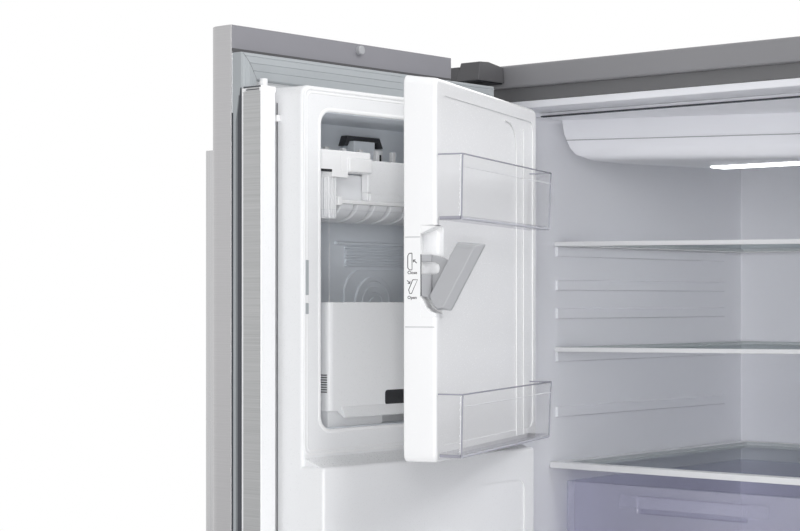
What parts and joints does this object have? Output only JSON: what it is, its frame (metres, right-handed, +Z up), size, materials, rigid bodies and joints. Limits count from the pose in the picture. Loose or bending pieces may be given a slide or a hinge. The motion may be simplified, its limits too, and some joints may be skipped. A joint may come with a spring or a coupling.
{
  "type": "french door refrigerator",
  "caption": "Free-standing refrigerator with two swinging doors over a freezer drawer, an ice compartment and dispenser in the left door, shelves and crispers inside.",
  "frame": {"origin": "on the floor, under the middle of the whole refrigerator's box as it stands with both doors square open", "axes": "+X to the right seen from the front, +Y to the back, +Z up"},
  "size_m": [0.982, 1.202, 1.764],
  "materials": {
    "case_paint": "satin",
    "steel_brushed": "brushed",
    "liner_white": "gloss",
    "frame_grey": "satin",
    "trim_grey": "satin",
    "cap_grey": "satin",
    "seal_grey": "matte",
    "latch_grey": "satin",
    "charcoal": "satin",
    "clear_plastic": "clear",
    "drawer_clear": "clear",
    "glass": "clear",
    "galvanised": "matte",
    "aluminium": "satin",
    "compressor_black": "satin",
    "roller_grey": "matte"
  },
  "bodies": {
    "cabinet": {"outer_case": "case_paint", "fresh_food_liner": "liner_white", "freezer_liner": "liner_white", "front_frame": "frame_grey", "top_trim": "trim_grey", "hinge_covers": "cap_grey", "hinge_brackets": "galvanised", "base_frame": "galvanised", "toe_grille": "charcoal", "shelf_frames": "liner_white", "shelf_glass": "glass", "ceiling_lamp_cover": "liner_white", "air_duct_panel": "liner_white", "compressor": "compressor_black", "condenser_coil": "aluminium", "machine_cover": "galvanised", "evaporator_coil": "aluminium", "freezer_duct_panel": "liner_white"},
    "condenser_fan": {"condenser_fan": "charcoal"},
    "left_foot": {"left_levelling_foot": "roller_grey"},
    "right_foot": {"right_levelling_foot": "roller_grey"},
    "rear_rollers": {"rear_rollers": "roller_grey"},
    "left_crisper": {"left_crisper": "drawer_clear"},
    "right_crisper": {"right_crisper": "drawer_clear"},
    "pantry_drawer": {"pantry_drawer": "drawer_clear"},
    "left_door": {"left_door_skin": "steel_brushed", "left_door_liner": "liner_white", "left_door_caps": "cap_grey", "left_door_gasket": "seal_grey", "left_door_handle": "steel_brushed", "dispenser_housing": "charcoal", "dispenser_panel": "charcoal", "drip_tray": "charcoal", "ice_maker_tray": "latch_grey", "ice_maker_control_box": "liner_white", "ice_bucket": "liner_white", "ice_bucket_window": "clear_plastic"},
    "dispenser_paddle": {"dispenser_paddle": "charcoal"},
    "ice_ejector": {"ice_ejector": "liner_white"},
    "ice_auger": {"ice_auger": "latch_grey"},
    "mullion": {"mullion_bar": "liner_white", "mullion_plate": "steel_brushed"},
    "ice_door": {"ice_door_shell": "liner_white", "ice_door_gasket": "seal_grey", "ice_latch_base": "latch_grey", "ice_door_upper_bin": "clear_plastic", "ice_door_lower_bin": "clear_plastic"},
    "ice_latch": {"ice_latch_lever": "latch_grey"},
    "right_door": {"right_door_skin": "steel_brushed", "right_door_liner": "liner_white", "right_door_caps": "cap_grey", "right_door_gasket": "seal_grey", "right_door_handle": "steel_brushed", "right_door_bins": "clear_plastic"},
    "freezer_drawer": {"freezer_front_skin": "steel_brushed", "freezer_front_liner": "liner_white", "freezer_gasket": "seal_grey", "freezer_handle": "steel_brushed", "freezer_basket": "liner_white", "freezer_runners": "galvanised"}
  },
  "joints": [
    {"name": "left_door_hinge", "type": "hinge", "parent": "cabinet", "child": "left_door", "pos_m": [-0.434, -0.17, 1.25], "axis": [0, 0, -1], "range_deg": [-90, 30]},
    {"name": "right_door_hinge", "type": "hinge", "parent": "cabinet", "child": "right_door", "pos_m": [0.434, -0.17, 1.25], "axis": [0, 0, 1], "range_deg": [-90, 30]},
    {"name": "mullion_fold", "type": "hinge", "parent": "left_door", "child": "mullion", "pos_m": [-0.3793, -0.5971, 1.24], "axis": [0, 0, 1], "range_deg": [-90, 0]},
    {"name": "ice_door_hinge", "type": "hinge", "parent": "left_door", "child": "ice_door", "pos_m": [-0.3185, -0.2205, 1.497], "axis": [0, 0, 1], "range_deg": [-20, 70]},
    {"name": "ice_latch_pivot", "type": "hinge", "parent": "ice_door", "child": "ice_latch", "pos_m": [-0.1668, -0.52764, 1.462], "axis": [-0.342, 0.9397, 0], "range_deg": [-22, 0]},
    {"name": "ice_ejector_turn", "type": "hinge", "parent": "left_door", "child": "ice_ejector", "pos_m": [-0.377, -0.451, 1.6175], "axis": [0, -1, 0], "continuous": true},
    {"name": "ice_auger_turn", "type": "hinge", "parent": "left_door", "child": "ice_auger", "pos_m": [-0.371, -0.401, 1.392], "axis": [0, -1, 0], "continuous": true},
    {"name": "dispenser_paddle_press", "type": "hinge", "parent": "left_door", "child": "dispenser_paddle", "pos_m": [-0.363, -0.376, 1.208], "axis": [0, -1, 0], "range_deg": [0, 7], "stiffness_Nm_per_rad": 0.4},
    {"name": "left_crisper_slide", "type": "slide", "parent": "cabinet", "child": "left_crisper", "axis": [0, -1, 0], "range_m": [0, 0.17]},
    {"name": "right_crisper_slide", "type": "slide", "parent": "cabinet", "child": "right_crisper", "axis": [0, -1, 0], "range_m": [0, 0.17]},
    {"name": "pantry_slide", "type": "slide", "parent": "cabinet", "child": "pantry_drawer", "axis": [0, -1, 0], "range_m": [0, 0.17]},
    {"name": "freezer_drawer_slide", "type": "slide", "parent": "cabinet", "child": "freezer_drawer", "axis": [0, -1, 0], "range_m": [0, 0.4]},
    {"name": "condenser_fan_turn", "type": "hinge", "parent": "cabinet", "child": "condenser_fan", "pos_m": [0.04, 0.481, 0.165], "axis": [1, 0, 0], "continuous": true},
    {"name": "rear_roller_turn", "type": "hinge", "parent": "cabinet", "child": "rear_rollers", "pos_m": [0, 0.541, 0.022], "axis": [1, 0, 0], "continuous": true},
    {"name": "left_foot_turn", "type": "hinge", "parent": "cabinet", "child": "left_foot", "pos_m": [-0.4, -0.059, 0], "axis": [0, 0, 1], "continuous": true},
    {"name": "right_foot_turn", "type": "hinge", "parent": "cabinet", "child": "right_foot", "pos_m": [0.4, -0.059, 0], "axis": [0, 0, 1], "continuous": true}
  ]
}
